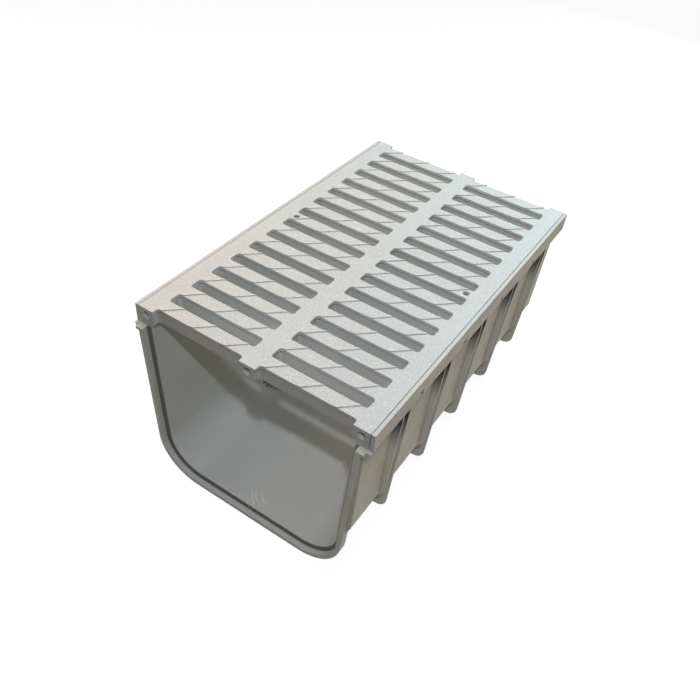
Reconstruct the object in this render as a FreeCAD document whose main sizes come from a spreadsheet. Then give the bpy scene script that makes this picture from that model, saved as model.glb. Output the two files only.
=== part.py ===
import FreeCAD, Part
import math
import os
import Sketcher

# Channel drain: a moulded U-shaped trough that carries a moulded slotted grating in its rim.
# X runs across, Y along the channel and Z up. The origin lies on the centre line, at the height of the
# socket collar's underside, in the joint plane at Y = 0 where this unit meets the one before it.

doc = FreeCAD.newDocument("ChannelDrain")

# ---------------------------------------------------------------- driving dimensions (millimetres)
sheet = doc.addObject("Spreadsheet::Sheet", "Sizes")
DRIVING = {
    # whole unit
    "unit_length": 500,
    "unit_height": 255,
    "grating_width": 300,
    # trough
    "trough_width": 278,
    "side_batter": 0.05,
    "trough_corner": 52,
    "wall": 4,
    # rim that carries the grating
    "lip": 4.4,
    "grating_gap": 0.6,
    "ledge": 5,
    # socket collar at the front end
    "socket_wall": 6,
    "socket_gap": 0.5,
    "socket_depth": 8.5,
    "socket_shoulder": 3,
    "tab_reach": 4,
    "tab_length": 7.5,
    "tab_thickness": 4,
    "gusset_drop": 15,
    "gusset_corner": 7,
    "gusset_length": 7,
    # pairs of stiffening ribs on both flanks
    "rib_pairs": 5,
    "rib_spacing": 91.5,
    "rib_gap": 11.5,
    "rib_thickness": 2.5,
    "rib_reach": 16,
    "heel_height": 48,
    "heel_corner": 14,
    "shin_height": 76,
    "shin_corner": 26,
    # flush outer skin of both flanks, with a chamber behind it
    "skin_width": 295,
    "skin_batter": 0.03,
    "skin": 3,
    "skin_foot": 94,
    "skin_start": 6,
    # slit windows through the lip
    "windows": 4,
    "window_spacing": 98.5,
    "window_first": 96,
    "window_length": 6,
    "window_height": 2,
    # grating
    "grating_depth": 19,
    "slots": 14,
    "slot_width": 15.7,
    "slot_length": 119,
    "slot_corner": 3.5,
    "spine": 21.4,
    "bar_wall": 3.5,
    "bar_top": 5,
    "keel_thickness": 3,
    "keel_depth": 8,
    "keel_spread": 7,
    "parting_depth": 4,
    "parting_step": 0.5,
    # end lugs and fixings
    "lug_bore": 8.6,
    "lug_bore_depth": 12,
    "lug_rim": 10,
    "lug_rim_depth": 0.8,
    "screw_bore": 6.5,
    "screw_inset": 6,
    "boss_radius": 6.5,
    "boss_depth": 22,
    "pilot_bore": 4,
    "pilot_depth": 16,
    # anti-slip ridges across the bars
    "ridges": 3,
    "ridge_first": 6,
    "ridge_spacing": 44.4,
    "ridge_run": 7,
    "ridge_height": 1.2,
}
for row, (alias, number) in enumerate(DRIVING.items(), start=1):
    sheet.set("A%d" % row, alias)
    sheet.set("B%d" % row, str(number))
    sheet.setAlias("B%d" % row, alias)
doc.recompute()


class Size:
    """A number together with the expression that works it out from the sheet."""

    def __init__(self, value, text):
        self.value = value
        self.text = text

    def __add__(self, other):
        other = as_size(other)
        return Size(self.value + other.value, "(%s + %s)" % (self.text, other.text))

    def __sub__(self, other):
        other = as_size(other)
        return Size(self.value - other.value, "(%s - %s)" % (self.text, other.text))

    def __mul__(self, other):
        other = as_size(other)
        return Size(self.value * other.value, "%s * %s" % (self.text, other.text))

    def __truediv__(self, other):
        other = as_size(other)
        return Size(self.value / other.value, "%s / %s" % (self.text, other.text))

    def __neg__(self):
        return Size(-self.value, "(0 - %s)" % self.text)


def as_size(number):
    return number if isinstance(number, Size) else Size(number, str(number))


def of(alias):
    return Size(DRIVING[alias], "Sizes." + alias)


# ---------------------------------------------------------------- sizes that follow from them
front = as_size(0)
back = of("unit_length")
middle = back / 2
rim_half = of("grating_width") / 2 + of("grating_gap") + of("lip")
rebate_half = of("grating_width") / 2 + of("grating_gap")
top = of("unit_height")
ledge_top = top - of("grating_depth")
rim_bottom = ledge_top - of("ledge")
flank_half = of("trough_width") / 2
socket_offset = of("socket_wall") + of("socket_gap")
trough_bottom = socket_offset
collar_front = front - of("socket_depth")
collar_back = front + of("socket_shoulder")
corner_top = trough_bottom + of("trough_corner")
spigot = of("socket_depth") + of("socket_gap") * 2

pitch = of("unit_length") / (of("slots") + 1)
bar = pitch - of("slot_width")
half_slot = of("slot_width") / 2
slot_inner = of("spine") / 2
slot_outer = slot_inner + of("slot_length")
first_bar = front + half_slot
lug_middle = (slot_outer + of("grating_width") / 2) / 2
bore_height = top - of("grating_depth") / 2
screw_across = slot_outer - of("screw_inset")


def flank(height, inset=0):
    """Half width of the trough's outer face at a height; both flanks lean in towards the floor."""
    return flank_half - of("side_batter") * (rim_bottom - height) - inset


def skin_face(height, inset=0):
    """Half width of the flanks' outer skin at a height."""
    return of("skin_width") / 2 - of("skin_batter") * (rim_bottom - height) - inset


# ---------------------------------------------------------------- helpers
def plane(body, role):
    return [feature for feature in body.Origin.OriginFeatures if feature.Role == role][0]


def new_sketch(body, name, role, offset):
    """A sketch on one of the body's origin planes, moved along the plane's normal by offset."""
    sketch = body.newObject("Sketcher::SketchObject", name)
    sketch.AttachmentSupport = [(plane(body, role), "")]
    sketch.MapMode = "FlatFace"
    sketch.setExpression("AttachmentOffset.Base.z", as_size(offset).text)
    return sketch


def across_at(body, name, y):
    """A sketch in the cross-section at y: its own axes are the part's X and Z."""
    return new_sketch(body, name, "XZ_Plane", -as_size(y))


def bind(sketch, constraint, size):
    index = sketch.addConstraint(constraint)
    sketch.setExpression("Constraints[%d]" % index, size.text)


def pin(sketch, geometry, position, x, y):
    """Ties a point of the sketch to its two driving coordinates."""
    bind(sketch, Sketcher.Constraint("DistanceX", -1, 1, geometry, position, x.value), x)
    bind(sketch, Sketcher.Constraint("DistanceY", -1, 1, geometry, position, y.value), y)


def outline(sketch, corners):
    """A closed outline through corners (x, y) or (x, y, radius); a radius rounds that corner."""
    corners = [tuple(as_size(number) for number in corner) for corner in corners]
    points = [FreeCAD.Vector(corner[0].value, corner[1].value, 0) for corner in corners]
    count = len(corners)
    cuts = []
    for i in range(count):
        here = points[i]
        back = (points[i - 1] - here).normalize()
        ahead = (points[(i + 1) % count] - here).normalize()
        if len(corners[i]) == 2:
            cuts.append((here, here, None))
            continue
        radius = corners[i][2].value
        half = back.getAngle(ahead) / 2
        reach = radius / math.tan(half)
        centre = here + (back + ahead).normalize() * (radius / math.sin(half))
        cuts.append((here + back * reach, here + ahead * reach, centre))
    lines = []
    for i in range(count):
        start = cuts[i][1]
        end = cuts[(i + 1) % count][0]
        lines.append(sketch.addGeometry(Part.LineSegment(start, end), False))
    for i in range(count):
        before = lines[i - 1]
        after = lines[i]
        entry, leave, centre = cuts[i]
        if centre is None:
            sketch.addConstraint(Sketcher.Constraint("Coincident", before, 2, after, 1))
            pin(sketch, after, 1, corners[i][0], corners[i][1])
            continue
        middle = centre + (points[i] - centre).normalize() * (entry - centre).Length
        arc = Part.Arc(entry, middle, leave)
        rounding = sketch.addGeometry(arc, False)
        starts_at_entry = (sketch.getPoint(rounding, 1) - entry).Length < 1e-6
        first, last = (1, 2) if starts_at_entry else (2, 1)
        sketch.addConstraint(Sketcher.Constraint("Tangent", before, 2, rounding, first))
        sketch.addConstraint(Sketcher.Constraint("Tangent", after, 1, rounding, last))
        bind(sketch, Sketcher.Constraint("Radius", rounding, corners[i][2].value), corners[i][2])
        sharp = sketch.addGeometry(Part.Point(points[i]), True)
        sketch.addConstraint(Sketcher.Constraint("PointOnObject", sharp, 1, before))
        sketch.addConstraint(Sketcher.Constraint("PointOnObject", sharp, 1, after))
        pin(sketch, sharp, 1, corners[i][0], corners[i][1])


def both_sides(sketch, corners):
    """The same outline on the right and, mirrored, on the left."""
    outline(sketch, corners)
    outline(sketch, [(-as_size(corner[0]),) + tuple(corner[1:]) for corner in reversed(corners)])


def box(sketch, left, right, low, high, radius=None):
    corner = () if radius is None else (radius,)
    outline(sketch, [(left, low) + corner, (right, low) + corner,
                     (right, high) + corner, (left, high) + corner])


def circle(sketch, x, y, diameter):
    x, y, diameter = as_size(x), as_size(y), as_size(diameter)
    centre = FreeCAD.Vector(x.value, y.value, 0)
    ring = Part.Circle(centre, FreeCAD.Vector(0, 0, 1), diameter.value / 2)
    index = sketch.addGeometry(ring, False)
    bind(sketch, Sketcher.Constraint("Diameter", index, diameter.value), diameter)
    pin(sketch, index, 3, x, y)


def extrude(body, kind, sketch, length, towards_plus_y=False):
    """A Pad or Pocket of a sketch. Cross-section pads run towards +Y, as pockets do by themselves."""
    feature = body.newObject("PartDesign::" + kind, sketch.Name.replace("Sketch", "") + kind)
    feature.Profile = sketch
    feature.setExpression("Length", as_size(length).text)
    feature.Reversed = towards_plus_y
    sketch.Visibility = False
    body.Tip = feature
    return feature


def pad_along(body, sketch, length):
    return extrude(body, "Pad", sketch, length, towards_plus_y=True)


def pad_up(body, sketch, length):
    return extrude(body, "Pad", sketch, length)


def cut_along(body, sketch, length):
    return extrude(body, "Pocket", sketch, length)


def cut_down(body, sketch, length):
    return extrude(body, "Pocket", sketch, length)


def cut_up(body, sketch, length):
    return extrude(body, "Pocket", sketch, length, towards_plus_y=True)


def repeat_along(body, features, spacing, count):
    """Copies of the features along the channel."""
    pattern = body.newObject("PartDesign::LinearPattern", features[0].Name + "Row")
    pattern.Originals = features
    pattern.Direction = (plane(body, "Y_Axis"), [""])
    pattern.Mode = "Spacing"
    pattern.setExpression("Offset", as_size(spacing).text)
    pattern.setExpression("Occurrences", as_size(count).text)
    body.Tip = pattern
    return pattern


# ---------------------------------------------------------------- the trough
def trough_section(offset, upper):
    """The U-shaped section grown outwards by offset, its open top closed at the height upper."""
    floor = trough_bottom - offset
    corner = of("trough_corner") + offset
    return [(-(flank(upper) + offset), upper), (-(flank(floor) + offset), floor, corner),
            (flank(floor) + offset, floor, corner), (flank(upper) + offset, upper)]


def make_channel_body():
    body = doc.addObject("PartDesign::Body", "ChannelBody")
    body.Label = "channel_body"

    # the U-shaped trough, still solid, and the square rim along its top
    sketch = across_at(body, "TroughSketch", front)
    outline(sketch, trough_section(as_size(0), rim_bottom))
    pad_along(body, sketch, of("unit_length"))
    sketch = across_at(body, "RimSketch", front)
    box(sketch, -rim_half, rim_half, rim_bottom, top)
    pad_along(body, sketch, of("unit_length"))

    # socket collar in front, with a sloped run-out back to the trough
    sketch = across_at(body, "CollarSketch", collar_front)
    outline(sketch, trough_section(socket_offset, rim_bottom))
    pad_along(body, sketch, of("socket_depth") + of("socket_shoulder"))
    sketch = across_at(body, "RunOutSketch", collar_back)
    outline(sketch, trough_section(socket_offset, rim_bottom))
    run_out = pad_along(body, sketch, socket_offset)
    run_out.TaperAngle = -44

    # tab on top of the collar at each side
    sketch = across_at(body, "TabSketch", collar_front)
    collar_side = flank(rim_bottom) + socket_offset
    both_sides(sketch, [(flank(rim_bottom), rim_bottom),
                        (flank(rim_bottom), rim_bottom - of("tab_thickness")),
                        (collar_side + of("tab_reach"), rim_bottom - of("tab_thickness")),
                        (collar_side + of("tab_reach"), rim_bottom)])
    pad_along(body, sketch, of("tab_length"))

    # rounded gusset behind the tab, which ties the collar to the corner of the rim
    sketch = across_at(body, "GussetSketch", collar_back - of("gusset_length"))
    both_sides(sketch, [(flank(rim_bottom), rim_bottom),
                        (flank(rim_bottom), rim_bottom - of("gusset_drop")),
                        (collar_side + of("tab_reach"), rim_bottom - of("gusset_drop"), of("gusset_corner")),
                        (rim_half, rim_bottom)])
    pad_along(body, sketch, of("gusset_length"))

    # outer skin from the collar to the spigot, down to the trough's round corner
    skin_length = of("unit_length") - collar_front - of("skin_start") - spigot
    sketch = across_at(body, "SkinSketch", collar_front + of("skin_start"))
    both_sides(sketch, [(flank(rim_bottom, of("wall") / 2), rim_bottom),
                        (flank(corner_top, of("wall") / 2), corner_top),
                        (flank(corner_top), corner_top),
                        (skin_face(of("skin_foot")), of("skin_foot")),
                        (skin_face(rim_bottom), rim_bottom)])
    pad_along(body, sketch, skin_length)

    # pairs of ribs: a front one with a rounded shin, a rear one with a squarer heel
    pair_depth = of("rib_gap") + of("rib_thickness") * 2
    first_rib = middle - of("rib_spacing") * (of("rib_pairs") - 1) / 2 - pair_depth / 2
    ribs = []
    for name, start, low, corner in (
        ("Shin", first_rib, of("shin_height"), of("shin_corner")),
        ("Heel", first_rib + of("rib_thickness") + of("rib_gap"), of("heel_height"), of("heel_corner")),
    ):
        sketch = across_at(body, name + "Sketch", start)
        both_sides(sketch, [(flank(rim_bottom, of("wall")), rim_bottom),
                            (flank(low, of("wall")), low),
                            (flank(low) + of("rib_reach"), low, corner),
                            (rim_half, rim_bottom)])
        ribs.append(pad_along(body, sketch, of("rib_thickness")))
    repeat_along(body, ribs, of("rib_spacing"), of("rib_pairs"))

    # chamber between each skin and the trough's wall, open at the spigot end
    sketch = across_at(body, "ChamberSketch", collar_back + socket_offset + of("wall"))
    both_sides(sketch, [(flank(rim_bottom), rim_bottom),
                        (flank(of("skin_foot")), of("skin_foot")),
                        (skin_face(of("skin_foot"), of("skin")), of("skin_foot")),
                        (skin_face(rim_bottom, of("skin")), rim_bottom)])
    cut_along(body, sketch, of("unit_length"))

    # the inside of the trough, the socket and the rebate for the grating
    through = of("unit_length") + of("socket_depth") * 4
    sketch = across_at(body, "InsideSketch", collar_front - of("socket_depth"))
    inside = trough_section(-of("wall"), top + of("ledge"))
    outline(sketch, inside)
    cut_along(body, sketch, through)
    sketch = across_at(body, "SocketSketch", collar_front - of("socket_depth"))
    outline(sketch, trough_section(of("socket_gap"), rim_bottom + of("socket_gap")))
    cut_along(body, sketch, of("socket_depth") * 2)
    sketch = across_at(body, "RebateSketch", collar_front - of("socket_depth"))
    box(sketch, -rebate_half, rebate_half, ledge_top, top + of("ledge"))
    cut_along(body, sketch, through)

    # slit windows through the lip, just above the ledge
    sketch = across_at(body, "WindowSketch", front + of("window_first") - of("window_length") / 2)
    both_sides(sketch, [(rebate_half - of("lip"), ledge_top),
                        (rim_half + of("lip"), ledge_top),
                        (rim_half + of("lip"), ledge_top + of("window_height")),
                        (rebate_half - of("lip"), ledge_top + of("window_height"))])
    window = cut_along(body, sketch, of("window_length"))
    repeat_along(body, [window], of("window_spacing"), of("windows"))

    # screw bosses on the inner faces at mid length, under the grating's screw holes
    sketch = new_sketch(body, "BossSketch", "XY_Plane", ledge_top - of("boss_depth"))
    boss = of("boss_radius")
    both_sides(sketch, [(screw_across - boss, middle - boss, boss / 2),
                        (flank(rim_bottom, of("wall") / 2), middle - boss),
                        (flank(rim_bottom, of("wall") / 2), middle + boss),
                        (screw_across - boss, middle + boss, boss / 2)])
    pad_up(body, sketch, of("boss_depth"))
    sketch = new_sketch(body, "PilotSketch", "XY_Plane", ledge_top)
    circle(sketch, screw_across, middle, of("pilot_bore"))
    circle(sketch, -screw_across, middle, of("pilot_bore"))
    cut_down(body, sketch, of("pilot_depth"))
    return body


# ---------------------------------------------------------------- the grating
def make_grating():
    body = doc.addObject("PartDesign::Body", "Grating")
    body.Label = "grating"
    edge = of("grating_width") / 2

    # flat blank
    sketch = new_sketch(body, "BlankSketch", "XY_Plane", ledge_top)
    box(sketch, -edge, edge, front, back)
    pad_up(body, sketch, of("grating_depth"))

    # hollow underside of every bar, one pocket each side of the spine
    sketch = new_sketch(body, "HollowSketch", "XY_Plane", ledge_top)
    low = first_bar + of("bar_wall")
    high = first_bar + bar - of("bar_wall")
    both_sides(sketch, [(slot_inner, low), (slot_outer - of("screw_inset") * 2, low),
                        (slot_outer - of("screw_inset") * 2, high), (slot_inner, high)])
    hollow = cut_up(body, sketch, of("grating_depth") - of("bar_top"))
    repeat_along(body, [hollow], pitch, of("slots") + 1)

    # keel: two webs under the spine
    sketch = across_at(body, "KeelSketch", first_bar + bar)
    both_sides(sketch, [(of("keel_spread") - of("keel_thickness"), ledge_top - of("keel_depth")),
                        (of("keel_spread"), ledge_top - of("keel_depth")),
                        (of("keel_spread"), ledge_top + of("bar_wall")),
                        (of("keel_spread") - of("keel_thickness"), ledge_top + of("bar_wall"))])
    pad_along(body, sketch, of("unit_length") - (half_slot + bar) * 2)

    # two columns of slots with rounded corners
    sketch = new_sketch(body, "SlotSketch", "XY_Plane", top)
    near = first_bar + bar
    far = near + of("slot_width")
    corner = of("slot_corner")
    both_sides(sketch, [(slot_inner, near, corner), (slot_outer, near, corner),
                        (slot_outer, far, corner), (slot_inner, far, corner)])
    slot = cut_down(body, sketch, of("grating_depth"))
    repeat_along(body, [slot], pitch, of("slots"))

    # below the parting line the long faces of the slots step back
    step = of("parting_step")
    sketch = new_sketch(body, "PartingSketch", "XY_Plane", top - of("parting_depth"))
    both_sides(sketch, [(slot_inner + corner, near - step), (slot_outer - corner, near - step),
                        (slot_outer - corner, far + step), (slot_inner + corner, far + step)])
    parting = cut_down(body, sketch, of("grating_depth"))
    repeat_along(body, [parting], pitch, of("slots"))

    # half slots at both ends, with the same step, which leave three lugs to meet the next grating
    for name, outside, inside, stepped in (
        ("FrontEnd", front - of("lip"), first_bar, first_bar + step),
        ("BackEnd", back + of("lip"), back - half_slot, back - half_slot - step),
    ):
        sketch = new_sketch(body, name + "Sketch", "XY_Plane", top)
        both_sides(sketch, [(slot_inner, outside), (slot_outer, outside),
                            (slot_outer, inside, corner), (slot_inner, inside, corner)])
        cut_down(body, sketch, of("grating_depth"))
        sketch = new_sketch(body, name + "PartingSketch", "XY_Plane", top - of("parting_depth"))
        both_sides(sketch, [(slot_inner + corner, outside), (slot_outer - corner, outside),
                            (slot_outer - corner, stepped), (slot_inner + corner, stepped)])
        cut_down(body, sketch, of("grating_depth"))

    # round bores in the faces of the lugs, each with a shallow rim
    for name, width, depth in (("LugBore", of("lug_bore"), of("lug_bore_depth")),
                               ("LugRim", of("lug_rim"), of("lug_rim_depth"))):
        for end, face in (("Front", front), ("Back", back - depth)):
            sketch = across_at(body, end + name + "Sketch", face)
            for across in (-lug_middle, as_size(0), lug_middle):
                circle(sketch, across, bore_height, width)
            cut_along(body, sketch, depth)

    # one screw hole in each column, through the middle bar
    sketch = new_sketch(body, "ScrewSketch", "XY_Plane", top)
    circle(sketch, screw_across, middle, of("screw_bore"))
    circle(sketch, -screw_across, middle, of("screw_bore"))
    cut_down(body, sketch, of("grating_depth"))

    # anti-slip ridges: low wedges that cross each bar at 45 degrees and drop off on their right
    sketch = across_at(body, "RidgeSketch", first_bar)
    for column in (-slot_outer, slot_inner):
        for index in range(int(DRIVING["ridges"])):
            drop = column + of("ridge_first") + of("ridge_spacing") * index
            outline(sketch, [(drop - of("ridge_run"), top), (drop, top),
                             (drop, top + of("ridge_height"))])
    ridge = pad_along(body, sketch, bar)
    ridge.UseCustomVector = True
    ridge.Direction = FreeCAD.Vector(1, 1, 0)
    ridge.AlongSketchNormal = True
    ridge.Reversed = False
    repeat_along(body, [ridge], pitch, of("slots") + 1)
    return body


channel_body = make_channel_body()
grating = make_grating()
doc.recompute()

# ---------------------------------------------------------------- check and write
for thing in doc.Objects:
    if "Invalid" in thing.State or "Error" in thing.State:
        raise RuntimeError("%s did not build: %s" % (thing.Name, thing.State))
os.makedirs("parts", exist_ok=True)
for body in (channel_body, grating):
    if body.Shape.isNull() or not body.Shape.isValid() or len(body.Shape.Solids) != 1:
        raise RuntimeError("%s is not one sound solid" % body.Label)
    body.Shape.exportStep("parts/%s.step" % body.Label)
    print(body.Label, "volume", round(body.Shape.Volume), body.Shape.BoundBox)
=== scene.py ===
import math

import bpy
from mathutils import Matrix, Vector


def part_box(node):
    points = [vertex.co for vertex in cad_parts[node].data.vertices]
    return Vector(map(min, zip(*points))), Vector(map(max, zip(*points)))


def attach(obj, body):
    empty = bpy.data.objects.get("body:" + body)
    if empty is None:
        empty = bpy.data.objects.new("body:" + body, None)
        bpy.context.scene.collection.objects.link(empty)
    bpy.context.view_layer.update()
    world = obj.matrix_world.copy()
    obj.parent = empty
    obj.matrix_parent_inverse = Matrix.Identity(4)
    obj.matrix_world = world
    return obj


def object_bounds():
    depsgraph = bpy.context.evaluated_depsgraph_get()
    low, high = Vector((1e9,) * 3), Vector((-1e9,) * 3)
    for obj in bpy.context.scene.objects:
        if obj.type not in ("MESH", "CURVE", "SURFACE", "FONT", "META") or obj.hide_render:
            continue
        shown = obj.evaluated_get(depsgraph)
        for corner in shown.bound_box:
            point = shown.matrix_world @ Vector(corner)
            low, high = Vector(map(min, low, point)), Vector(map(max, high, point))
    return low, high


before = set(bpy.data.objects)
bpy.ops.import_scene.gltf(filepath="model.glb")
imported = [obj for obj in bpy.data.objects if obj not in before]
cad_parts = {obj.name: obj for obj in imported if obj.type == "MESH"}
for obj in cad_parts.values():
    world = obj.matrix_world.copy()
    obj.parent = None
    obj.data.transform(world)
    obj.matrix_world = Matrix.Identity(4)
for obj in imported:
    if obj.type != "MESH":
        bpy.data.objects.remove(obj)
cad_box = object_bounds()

# ---------------------------------------------------------------- channel body
# The trough is one polypropylene moulding: battered walls, rounded floor corners, a socket collar,
# a thin lip with a ledge behind it, and pairs of ribs on both flanks. It leaves the mould with a
# fine matt grain and all its edges slightly broken.


def linear(red, green, blue):
    """A colour given as it looks on a screen, 0 to 255, as the linear values that shaders take."""
    return tuple(
        value / 255 / 12.92 if value <= 10 else ((value / 255 + 0.055) / 1.055) ** 2.4
        for value in (red, green, blue)
    ) + (1.0,)


def soft_faces():
    """A node group that shades every face smoothly."""
    group = bpy.data.node_groups.new("soft faces", "GeometryNodeTree")
    for way in ("INPUT", "OUTPUT"):
        group.interface.new_socket(name="Geometry", in_out=way, socket_type="NodeSocketGeometry")
    start, end = group.nodes.new("NodeGroupInput"), group.nodes.new("NodeGroupOutput")
    soft = group.nodes.new("GeometryNodeSetShadeSmooth")
    group.links.new(start.outputs[0], soft.inputs["Geometry"])
    group.links.new(soft.outputs["Geometry"], end.inputs[0])
    return group


smooth_shading = soft_faces()


def break_edges(piece, width):
    """Joins the faces of a CAD piece again and rounds its sharp edges."""
    soft = piece.modifiers.new("soft faces", "NODES")
    soft.node_group = smooth_shading
    weld = piece.modifiers.new("weld", "WELD")
    weld.merge_threshold = 0.00002
    edge = piece.modifiers.new("broken edges", "BEVEL")
    edge.width = width
    edge.segments = 2
    edge.limit_method = "ANGLE"
    edge.angle_limit = math.radians(32)
    edge.use_clamp_overlap = True
    even = piece.modifiers.new("even shading", "WEIGHTED_NORMAL")
    even.keep_sharp = True


def coat(piece, material):
    """Gives a CAD piece one material all over."""
    piece.data.materials.clear()
    piece.data.materials.append(material)


def moulded_plastic(name):
    """A new plastic material: its node tree, and the shader at the end of it."""
    material = bpy.data.materials.new(name)
    material.use_nodes = True
    shader = material.node_tree.nodes["Principled BSDF"]
    shader.inputs["IOR"].default_value = 1.49
    shader.inputs["Specular IOR Level"].default_value = 0.4
    return material, material.node_tree, shader


def feed(tree, value, socket):
    """Gives a socket a fixed value, or wires another node's output to it."""
    if isinstance(value, bpy.types.NodeSocket):
        tree.links.new(value, socket)
    else:
        socket.default_value = value


def add(tree, kind, **settings):
    """Adds a node; settings name its inputs, or else its own properties."""
    node = tree.nodes.new("ShaderNode" + kind)
    for key, value in settings.items():
        label = key.replace("_", " ").title()
        if label in node.inputs:
            feed(tree, value, node.inputs[label])
        else:
            setattr(node, key, value)
    return node


def grain(tree, where, scale, detail, roughness=0.5):
    """Noise over the object, in grains per metre."""
    noise = add(tree, "TexNoise", vector=where, scale=scale, detail=detail, roughness=roughness)
    return noise.outputs["Fac"]


def stretched(tree, place, scale, turn=0.0):
    """The place, stretched along each axis and turned about the vertical, in degrees."""
    turned = (0.0, 0.0, math.radians(turn))
    return add(tree, "Mapping", vector=place, scale=scale, rotation=turned).outputs["Vector"]


def spread(tree, value, low, high, to_low=0.0, to_high=1.0):
    """Stretches what lies between two limits to run from to_low to to_high, level past both ends."""
    stretch = add(tree, "MapRange", value=value, from_min=low, from_max=high, to_min=to_low, to_max=to_high)
    return stretch.outputs["Result"]


def fade(tree, away, reach, strength=1.0):
    """Full strength up to the first distance of the reach, nothing past the second."""
    inner, outer = reach
    return spread(tree, away, inner, outer, strength, 0.0)


def reckon(tree, operation, first, second=0.0):
    """One arithmetic step on sockets or numbers."""
    step = add(tree, "Math", operation=operation)
    feed(tree, first, step.inputs[0])
    feed(tree, second, step.inputs[1])
    return step.outputs["Value"]


def product(tree, total, *factors):
    """All of them multiplied, one after the other."""
    for factor in factors:
        total = reckon(tree, "MULTIPLY", total, factor)
    return total


def above(tree, value, limit):
    """1 where the value is over the limit, else 0."""
    return reckon(tree, "GREATER_THAN", value, limit)


def below(tree, value, limit):
    """1 where the value is under the limit, else 0."""
    return reckon(tree, "LESS_THAN", value, limit)


def distance(tree, value, mark):
    """How far the value is from a mark, on either side."""
    return reckon(tree, "ABSOLUTE", reckon(tree, "SUBTRACT", value, mark))


def past_repeat(tree, value, first, spacing):
    """How far the value is past the last of the marks that repeat from the first."""
    return reckon(tree, "FLOORED_MODULO", reckon(tree, "SUBTRACT", value, first), spacing)


def split(tree, vector):
    """The X, Y and Z of a vector."""
    parts = add(tree, "SeparateXYZ", vector=vector)
    return parts.outputs["X"], parts.outputs["Y"], parts.outputs["Z"]


def blend_colours(tree, amount, first, second):
    """Mixes two colours, each a colour or a socket."""
    mix = add(tree, "Mix", data_type="RGBA")
    feed(tree, amount, mix.inputs[0])
    feed(tree, first, mix.inputs[6])
    feed(tree, second, mix.inputs[7])
    return mix.outputs[2]


def rounded(tree, radius):
    """A normal that runs softly over sharp edges."""
    return add(tree, "Bevel", samples=4, radius=radius).outputs["Normal"]


def bumps(tree, height, depth, under):
    """A normal with faint bumps of that depth laid over another normal."""
    bump = add(tree, "Bump", strength=0.35, distance=depth, height=height, normal=under)
    return bump.outputs["Normal"]


def finish_plastic(tree, shader, colour, roughness, normal):
    """Wires what has been worked out for the surface into its shader."""
    feed(tree, colour, shader.inputs["Base Color"])
    feed(tree, roughness, shader.inputs["Roughness"])
    feed(tree, normal, shader.inputs["Normal"])


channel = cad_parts["channel_body"]
channel_low, channel_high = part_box("channel_body")
break_edges(channel, 0.0005)

pale_grey, cloud_grey = linear(208, 208, 202), linear(200, 200, 195)
streak_grey, speck_grey = linear(188, 187, 179), linear(170, 168, 160)
painted_warm_flank, painted_groove_shade = linear(168, 150, 112), linear(42, 34, 22)
painted_window_shade, painted_shoulder_shade = linear(40, 36, 30), linear(90, 80, 72)
painted_end_shade, flow_white = linear(120, 114, 106), linear(240, 240, 238)

# clouds and streaks run through the plastic, with fine specks
body_plastic, tree, shader = moulded_plastic("body plastic")
place = add(tree, "TexCoord").outputs["Object"]
cloud = spread(tree, grain(tree, place, 9.0, 3.0), 0.3, 0.7)
tone = blend_colours(tree, cloud, pale_grey, cloud_grey)
drawn_out = stretched(tree, place, (26.0, 3.0, 26.0))
streak = spread(tree, grain(tree, drawn_out, 1.0, 4.0, 0.6), 0.35, 0.75, 0.0, 0.3)
tone = blend_colours(tree, streak, tone, streak_grey)
speck = spread(tree, grain(tree, place, 650.0, 2.0, 0.6), 0.62, 0.72, 0.0, 0.3)
tone = blend_colours(tree, speck, tone, speck_grey)

# painted warm light: the outer flanks are tinted a darker warm beige, standing in for warm light from the
# side
flank_from = 0.138
across, along, up = split(tree, place)
from_middle = reckon(tree, "ABSOLUTE", across)
face_x, face_y, face_z = split(tree, add(tree, "NewGeometry").outputs["Normal"])
sideways = product(tree, face_x, across)
flank = product(tree, above(tree, sideways, 0.05), above(tree, from_middle, flank_from))
warm_tint = spread(tree, grain(tree, place, 30.0, 4.0, 0.6), 0.3, 0.7, 0.3, 0.46)
tone = blend_colours(tree, product(tree, flank, warm_tint), tone, painted_warm_flank)

# painted shade: the grooves of the rib pairs are darkened, most strongly close under the rim
rib_spacing, first_shin, shin_lead, groove_run = 0.0915, 0.05875, 0.0105, 0.0255
groove_root, skin_level = 0.1410, 0.1487
rim_underside = 0.231
shade_foot, shade_full = 0.176, rim_underside - 0.012
run = past_repeat(tree, along, first_shin - shin_lead, rib_spacing)
in_groove = product(tree, spread(tree, run, 0.0, shin_lead), below(tree, run, groove_run))
facing_along = above(tree, reckon(tree, "ABSOLUTE", face_y), 0.5)
sunk = reckon(tree, "MAXIMUM", below(tree, from_middle, skin_level), facing_along)
sunk = product(tree, sunk, above(tree, from_middle, groove_root))
under_rim = below(tree, up, rim_underside)
near_rim = product(tree, spread(tree, up, shade_foot, shade_full), under_rim)
groove_shade = product(tree, in_groove, sunk, near_rim, 0.95)
tone = blend_colours(tree, groove_shade, tone, painted_groove_shade)

# painted shade: dark patches on the lip at its slit windows stand in for the shade inside the slits
windows, first_window, window_spacing, window_level = 4, 0.096, 0.0985, 0.2348
leak_along, leak_upright, lip_face = (0.0028, 0.0040), (0.0018, 0.0026), channel_high.x - 0.0005
beside = past_repeat(tree, along, first_window - window_spacing / 2, window_spacing)
beside = fade(tree, distance(tree, beside, window_spacing / 2), leak_along, 0.95)
level = fade(tree, distance(tree, up, window_level), leak_upright)
on_lip = above(tree, from_middle, lip_face)
before_last = below(tree, along, first_window + window_spacing * (windows - 0.5))
in_row = product(tree, before_last, above(tree, along, first_window / 2))
tone = blend_colours(tree, product(tree, beside, level, on_lip, in_row), tone, painted_window_shade)
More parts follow.
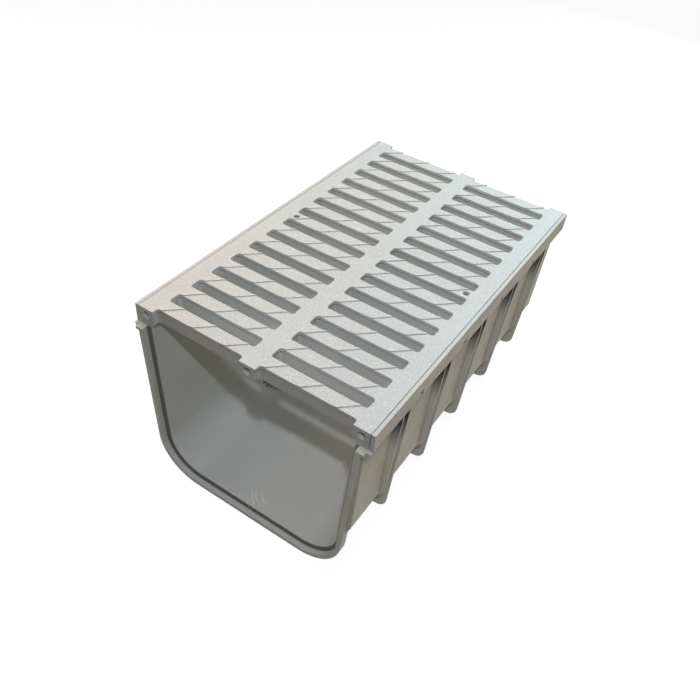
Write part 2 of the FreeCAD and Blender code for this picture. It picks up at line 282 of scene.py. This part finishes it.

# painted shade: the shoulder at the bottom of the socket is darkened
shoulder, shoulder_reach, section_middle = -0.0008, (0.0010, 0.0016), 0.13
facing_front = below(tree, face_y, -0.5)
upward = product(tree, face_z, reckon(tree, "SUBTRACT", up, section_middle))
facing_in = below(tree, reckon(tree, "ADD", sideways, upward), 0.0)
at_shoulder = fade(tree, distance(tree, along, shoulder), shoulder_reach, 0.85)
at_shoulder = product(tree, at_shoulder, reckon(tree, "MAXIMUM", facing_in, facing_front), under_rim)
tone = blend_colours(tree, at_shoulder, tone, painted_shoulder_shade)

# painted shade: the end faces at the socket are darkened a little
end_faces = 0.0005
end_shade = product(tree, facing_front, below(tree, along, end_faces), 0.3)
tone = blend_colours(tree, end_shade, tone, painted_end_shade)

# a pale flow mark lies on the floor of the trough, near the socket
flow_place, flow_reach = (0.0, 0.014, 0.0105), (0.006, 0.017)
off_mark = add(tree, "VectorMath", operation="DISTANCE")
feed(tree, place, off_mark.inputs[0])
feed(tree, flow_place, off_mark.inputs[1])
flow = add(tree, "TexWave", vector=place, scale=55.0, distortion=9.0, detail=1.0, bands_direction="DIAGONAL")
swirl = spread(tree, flow.outputs["Fac"], 0.6, 0.95)
swirl = product(tree, swirl, fade(tree, off_mark.outputs["Value"], flow_reach, 0.6))
tone = blend_colours(tree, swirl, tone, flow_white)

# the walls have sunk a little as they cooled, and the mould's grain lies over that
gloss = spread(tree, grain(tree, place, 60.0, 3.0), 0.3, 0.7, 0.4, 0.54)
sag = bumps(tree, grain(tree, place, 22.0, 2.0), 0.0006, rounded(tree, 0.0006))
skin = bumps(tree, grain(tree, place, 900.0, 3.0, 0.6), 0.00012, sag)
finish_plastic(tree, shader, tone, gloss, skin)
coat(channel, body_plastic)

# ---------------------------------------------------------------- grating
# A second polypropylene moulding, coloured light grey right through, with fine glittering flakes in
# the skin of its top face. It drops into the rebate of the rim and lies level with the lip.

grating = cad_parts["grating"]
grating_low, grating_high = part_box("grating")
break_edges(grating, 0.0006)

walked_on = 0.255
parting_line, hairline_reach = walked_on - 0.0044, (0.0004, 0.0006)
side_face = grating_high.x - 0.0004
slots_end = side_face - 0.02
front_depth = grating_low.y + 0.0125
middle = (grating_low.y + grating_high.y) / 2
screw_across, seat_reach = 0.1237, (0.0042, 0.0048)

light_grey, bright_grey = linear(203, 202, 198), linear(210, 210, 207)
mottle_low, mottle_high = linear(186, 185, 180), linear(222, 222, 219)
flake_white, scuff_grey = linear(244, 244, 242), linear(176, 174, 168)
painted_gap_shade, painted_front_shade = linear(58, 56, 52), linear(118, 110, 108)
painted_countersink_shade, darker_tone_and_shade = linear(138, 137, 134), linear(70, 62, 48)


def grating_look(name, shade):
    """The grating's plastic; shade darkens it all over."""
    material, tree, shader = moulded_plastic(name)
    place = add(tree, "TexCoord").outputs["Object"]
    across, along, up = split(tree, place)
    from_middle = reckon(tree, "ABSOLUTE", across)
    face_y, face_z = split(tree, add(tree, "NewGeometry").outputs["Normal"])[1:]
    top_skin = spread(tree, face_z, 0.6, 0.9)

    # soft clouds, with a mottle, bright flakes and slanting scuffs on the top
    cloud = spread(tree, grain(tree, place, 14.0, 4.0), 0.3, 0.7)
    tone = blend_colours(tree, cloud, light_grey, bright_grey)
    mottle = spread(tree, grain(tree, place, 800.0, 3.0, 0.7), 0.36, 0.64)
    mottled = blend_colours(tree, mottle, mottle_low, mottle_high)
    tone = blend_colours(tree, product(tree, top_skin, 0.5), tone, mottled)
    flakes = add(tree, "TexVoronoi", vector=place, scale=1150.0, feature="F1")
    flake = add(tree, "SeparateColor", color=flakes.outputs["Color"])
    bright = spread(tree, flake.outputs["Red"], 0.85, 0.98, 0.0, 0.75)
    tone = blend_colours(tree, product(tree, bright, top_skin), tone, flake_white)
    slanting = stretched(tree, place, (30.0, 260.0, 30.0), 24)
    scuff = spread(tree, grain(tree, slanting, 1.0, 3.0, 0.7), 0.63, 0.78, 0.0, 0.25)
    tone = blend_colours(tree, scuff, tone, scuff_grey)

    # painted shade: a dark hairline under the parting line of the slots, and darkened faces in the gap along
    # the rim
    upright = below(tree, reckon(tree, "ABSOLUTE", face_z), 0.75)
    hairline = fade(tree, distance(tree, up, parting_line), hairline_reach, 0.9)
    hairline = product(tree, hairline, upright, below(tree, from_middle, slots_end))
    rim_gap = product(tree, above(tree, from_middle, side_face), upright, 0.8)
    tone = blend_colours(tree, reckon(tree, "MAXIMUM", hairline, rim_gap), tone, painted_gap_shade)

    # painted shade: the front faces of the lugs and of the first bar are darkened
    front_shade = product(tree, below(tree, face_y, -0.5), below(tree, along, front_depth), 0.45)
    tone = blend_colours(tree, front_shade, tone, painted_front_shade)

    # painted shade: a darker ring around each screw hole stands in for the shade of a wider countersunk hole
    off_x = reckon(tree, "SUBTRACT", from_middle, screw_across)
    off_y = reckon(tree, "SUBTRACT", along, middle)
    squared = reckon(tree, "ADD", product(tree, off_x, off_x), product(tree, off_y, off_y))
    seat_ring = fade(tree, reckon(tree, "SQRT", squared), seat_reach, 0.85)
    tone = blend_colours(tree, product(tree, seat_ring, top_skin), tone, painted_countersink_shade)

    # the shade value darkens it all over: a darker tone for the gate ring, painted shade for the fins under
    # the first bar
    tone = blend_colours(tree, shade, tone, darker_tone_and_shade)
    gloss = spread(tree, flake.outputs["Green"], 0.0, 1.0, 0.36, 0.58)
    finish_plastic(tree, shader, tone, gloss, bumps(tree, mottle, 0.00012, rounded(tree, 0.0009)))
    return material


coat(grating, grating_look("grating plastic", 0.0))

# ---------------------------------------------------------------- gate ring on the spine
# The mould's gate has left a faint raised ring in the middle of the spine. It is part of the
# grating's own plastic, a shade darker.


def new_piece(name, points, faces, material):
    """A small piece moulded with the grating, made from its corner points and attached to the root body."""
    mesh = bpy.data.meshes.new(name)
    mesh.from_pydata(points, [], faces)
    mesh.update()
    mesh.materials.append(material)
    piece = bpy.data.objects.new(name, mesh)
    bpy.context.scene.collection.objects.link(piece)
    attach(piece, "root")
    return piece


ring_radius, ring_wide, ring_high, ring_root, ring_steps = 0.0075, 0.0006, 0.00025, 0.0003, 64
ring_middle = Vector((0.0, middle, walked_on))
section = ((-ring_wide / 2, -ring_root), (0.0, ring_high), (ring_wide / 2, -ring_root))
points = []
for index in range(ring_steps):
    angle = 2 * math.pi * index / ring_steps
    for off, height in section:
        reach = ring_radius + off
        points.append(ring_middle + Vector((reach * math.cos(angle), reach * math.sin(angle), height)))
faces = []
for index in range(ring_steps):
    here, there = index * 3, (index + 1) % ring_steps * 3
    for side in range(3):
        other = (side + 1) % 3
        faces.append((here + side, there + side, there + other, here + other))
new_piece("gate_ring", points, faces, grating_look("gate plastic", 0.35))

# ---------------------------------------------------------------- stub fins under the first bar
# Three short fins and a tapered web stand under the first bar, right of the middle lug. They are moulded with
# the grating, and their plastic is darkened as painted shade under the bar.

seat = 0.2362
bar_front = grating_low.y + 0.0086
draft, edge_radius = 0.0004, 0.0004
# painted shade: the fins' plastic is darkened almost all the way, standing in for the shade under the bar
fin_plastic = grating_look("shaded plastic", 0.95)


def tapered_fin(name, start, end, near_drop, far_drop, depth):
    """A fin that hangs from the bar: wide at the top, narrower below, its edges rounded."""
    front, back = bar_front, bar_front + depth
    points = [(start + draft, front + draft, seat - near_drop), (end - draft, front + draft, seat - far_drop),
              (end - draft, back - draft, seat - far_drop), (start + draft, back - draft, seat - near_drop),
              (start, front, seat), (end, front, seat), (end, back, seat), (start, back, seat)]
    faces = [(3, 2, 1, 0), (4, 5, 6, 7), (0, 1, 5, 4), (1, 2, 6, 5), (2, 3, 7, 6), (3, 0, 4, 7)]
    fin = new_piece(name, points, faces, fin_plastic)
    edge = fin.modifiers.new("rounded edges", "BEVEL")
    edge.width, edge.segments = edge_radius, 3


first_fin, fin_spacing, fin_thick, fin_depth, fin_slope = 0.0132, 0.0044, 0.0030, 0.0085, 0.0008
for index, drop in enumerate((0.0066, 0.0092, 0.0080)):
    start = first_fin + fin_spacing * index
    tapered_fin("fin_%d" % (index + 1), start, start + fin_thick, drop, drop - fin_slope, fin_depth)
tapered_fin("fin_web", start=0.0254, end=0.0410, near_drop=0.0070, far_drop=0.0012, depth=0.0030)

# ---------------------------------------------------------------- floor and background
# A pale studio floor that runs out of sight. The camera and reflections see it and the world as
# white, with the soft shadow of the channel on the floor; neither throws much light back.


def seen_directly(tree):
    """1 for rays from the camera and in reflections and clear matter, else 0."""
    rays = add(tree, "LightPath").outputs
    seen = reckon(tree, "MAXIMUM", rays["Is Camera Ray"], rays["Is Glossy Ray"])
    return reckon(tree, "MAXIMUM", seen, rays["Is Transmission Ray"])


def mix_shaders(tree, amount, first, second):
    """The first shader where the amount is 0, the second where it is 1."""
    mix = add(tree, "MixShader")
    for value, socket in zip((amount, first, second), mix.inputs):
        feed(tree, value, socket)
    return mix.outputs[0]


bpy.context.scene.view_settings.view_transform = "Standard"
white = (1.0, 1.0, 1.0, 1.0)
floor_width, floor_level = 9.0, channel_low.z - 0.0004
bpy.ops.mesh.primitive_plane_add(size=floor_width, location=(0.0, middle, floor_level))
floor = bpy.context.object
floor.name = "studio_floor"
pale = bpy.data.materials.new("pale floor")
pale.use_nodes = True
tree = pale.node_tree
shadowed = add(tree, "BsdfDiffuse", color=linear(110, 110, 110))
glow = add(tree, "Emission", color=white, strength=0.93)
pale_floor = add(tree, "AddShader")
feed(tree, shadowed.outputs[0], pale_floor.inputs[0])
feed(tree, glow.outputs[0], pale_floor.inputs[1])
dull_floor = add(tree, "BsdfDiffuse", color=linear(150, 138, 106))
floor_look = mix_shaders(tree, seen_directly(tree), dull_floor.outputs[0], pale_floor.outputs[0])
feed(tree, floor_look, tree.nodes["Material Output"].inputs["Surface"])
floor.data.materials.append(pale)

world = bpy.data.worlds.new("studio")
bpy.context.scene.world = world
world.use_nodes = True
tree = world.node_tree
sky = tree.nodes["Background"]
sky.inputs["Color"].default_value = (0.96, 0.98, 1.0, 1.0)
sky.inputs["Strength"].default_value = 0.08
backdrop = add(tree, "Background", color=white, strength=1.0)
world_look = mix_shaders(tree, seen_directly(tree), sky.outputs[0], backdrop.outputs[0])
feed(tree, world_look, tree.nodes["World Output"].inputs["Surface"])

# ---------------------------------------------------------------- lamps and camera
# One wide soft box hangs over the channel, and a small one above the camera throws the grating's
# shadow into the trough. Tinted ones stand at the left, behind and at the right, and two plain ones
# light the sides that these miss.


def soft_box(name, place, aim, size, watts, colour):
    """A square lamp of that size at its place, turned to its aim."""
    lamp = bpy.data.lights.new(name, "AREA")
    lamp.shape = "SQUARE"
    lamp.size = size
    lamp.energy = watts
    lamp.color = colour
    stand = bpy.data.objects.new(name, lamp)
    bpy.context.scene.collection.objects.link(stand)
    stand.location = place
    stand.rotation_euler = (Vector(aim) - Vector(place)).to_track_quat("-Z", "Y").to_euler()


centre = (cad_box[0] + cad_box[1]) / 2
left_rim, back_rim = (-0.15, 0.08, 0.25), (0.1, 0.45, 0.25)
soft_box("overhead", (0.0, 0.75, 1.8), centre, 1.2, 8.6, (0.98, 1.0, 1.0))
soft_box("key", (0.5, -0.64, 1.5), centre, 0.05, 8.8, (0.82, 0.9, 1.0))
soft_box("warm left", (-0.4, 0.1, 0.75), left_rim, 0.2, 1.1, (1.0, 0.6, 0.32))
soft_box("cool back", (0.12, 1.05, 1.0), back_rim, 0.4, 5.2, (0.68, 0.93, 1.0))
soft_box("left fill", (-1.6, 0.1, 0.5), centre, 0.9, 6.0, (0.97, 0.99, 1.0))
soft_box("back fill", (0.2, 2.1, 0.5), centre, 0.9, 5.0, (0.9, 0.96, 1.0))
soft_box("warm side", (1.5, 0.2, 0.1), centre, 0.8, 2.2, (1.0, 0.74, 0.34))

camera_data = bpy.data.cameras.new("camera")
camera = bpy.data.objects.new("camera", camera_data)
bpy.context.scene.collection.objects.link(camera)
bpy.context.scene.camera = camera
camera_data.sensor_width = 36.0
camera_data.lens = 37.55
camera_data.shift_x = -0.0211
camera_data.shift_y = -0.0107
stand_point = Matrix.Translation((0.346, -0.4044, 0.7803))
heading = Matrix.Rotation(math.radians(28.0), 4, "Z")
tilt = Matrix.Rotation(math.radians(47.6), 4, "X")
roll = Matrix.Rotation(math.radians(7.17), 4, "Z")
camera.matrix_world = stand_point @ heading @ tilt @ roll
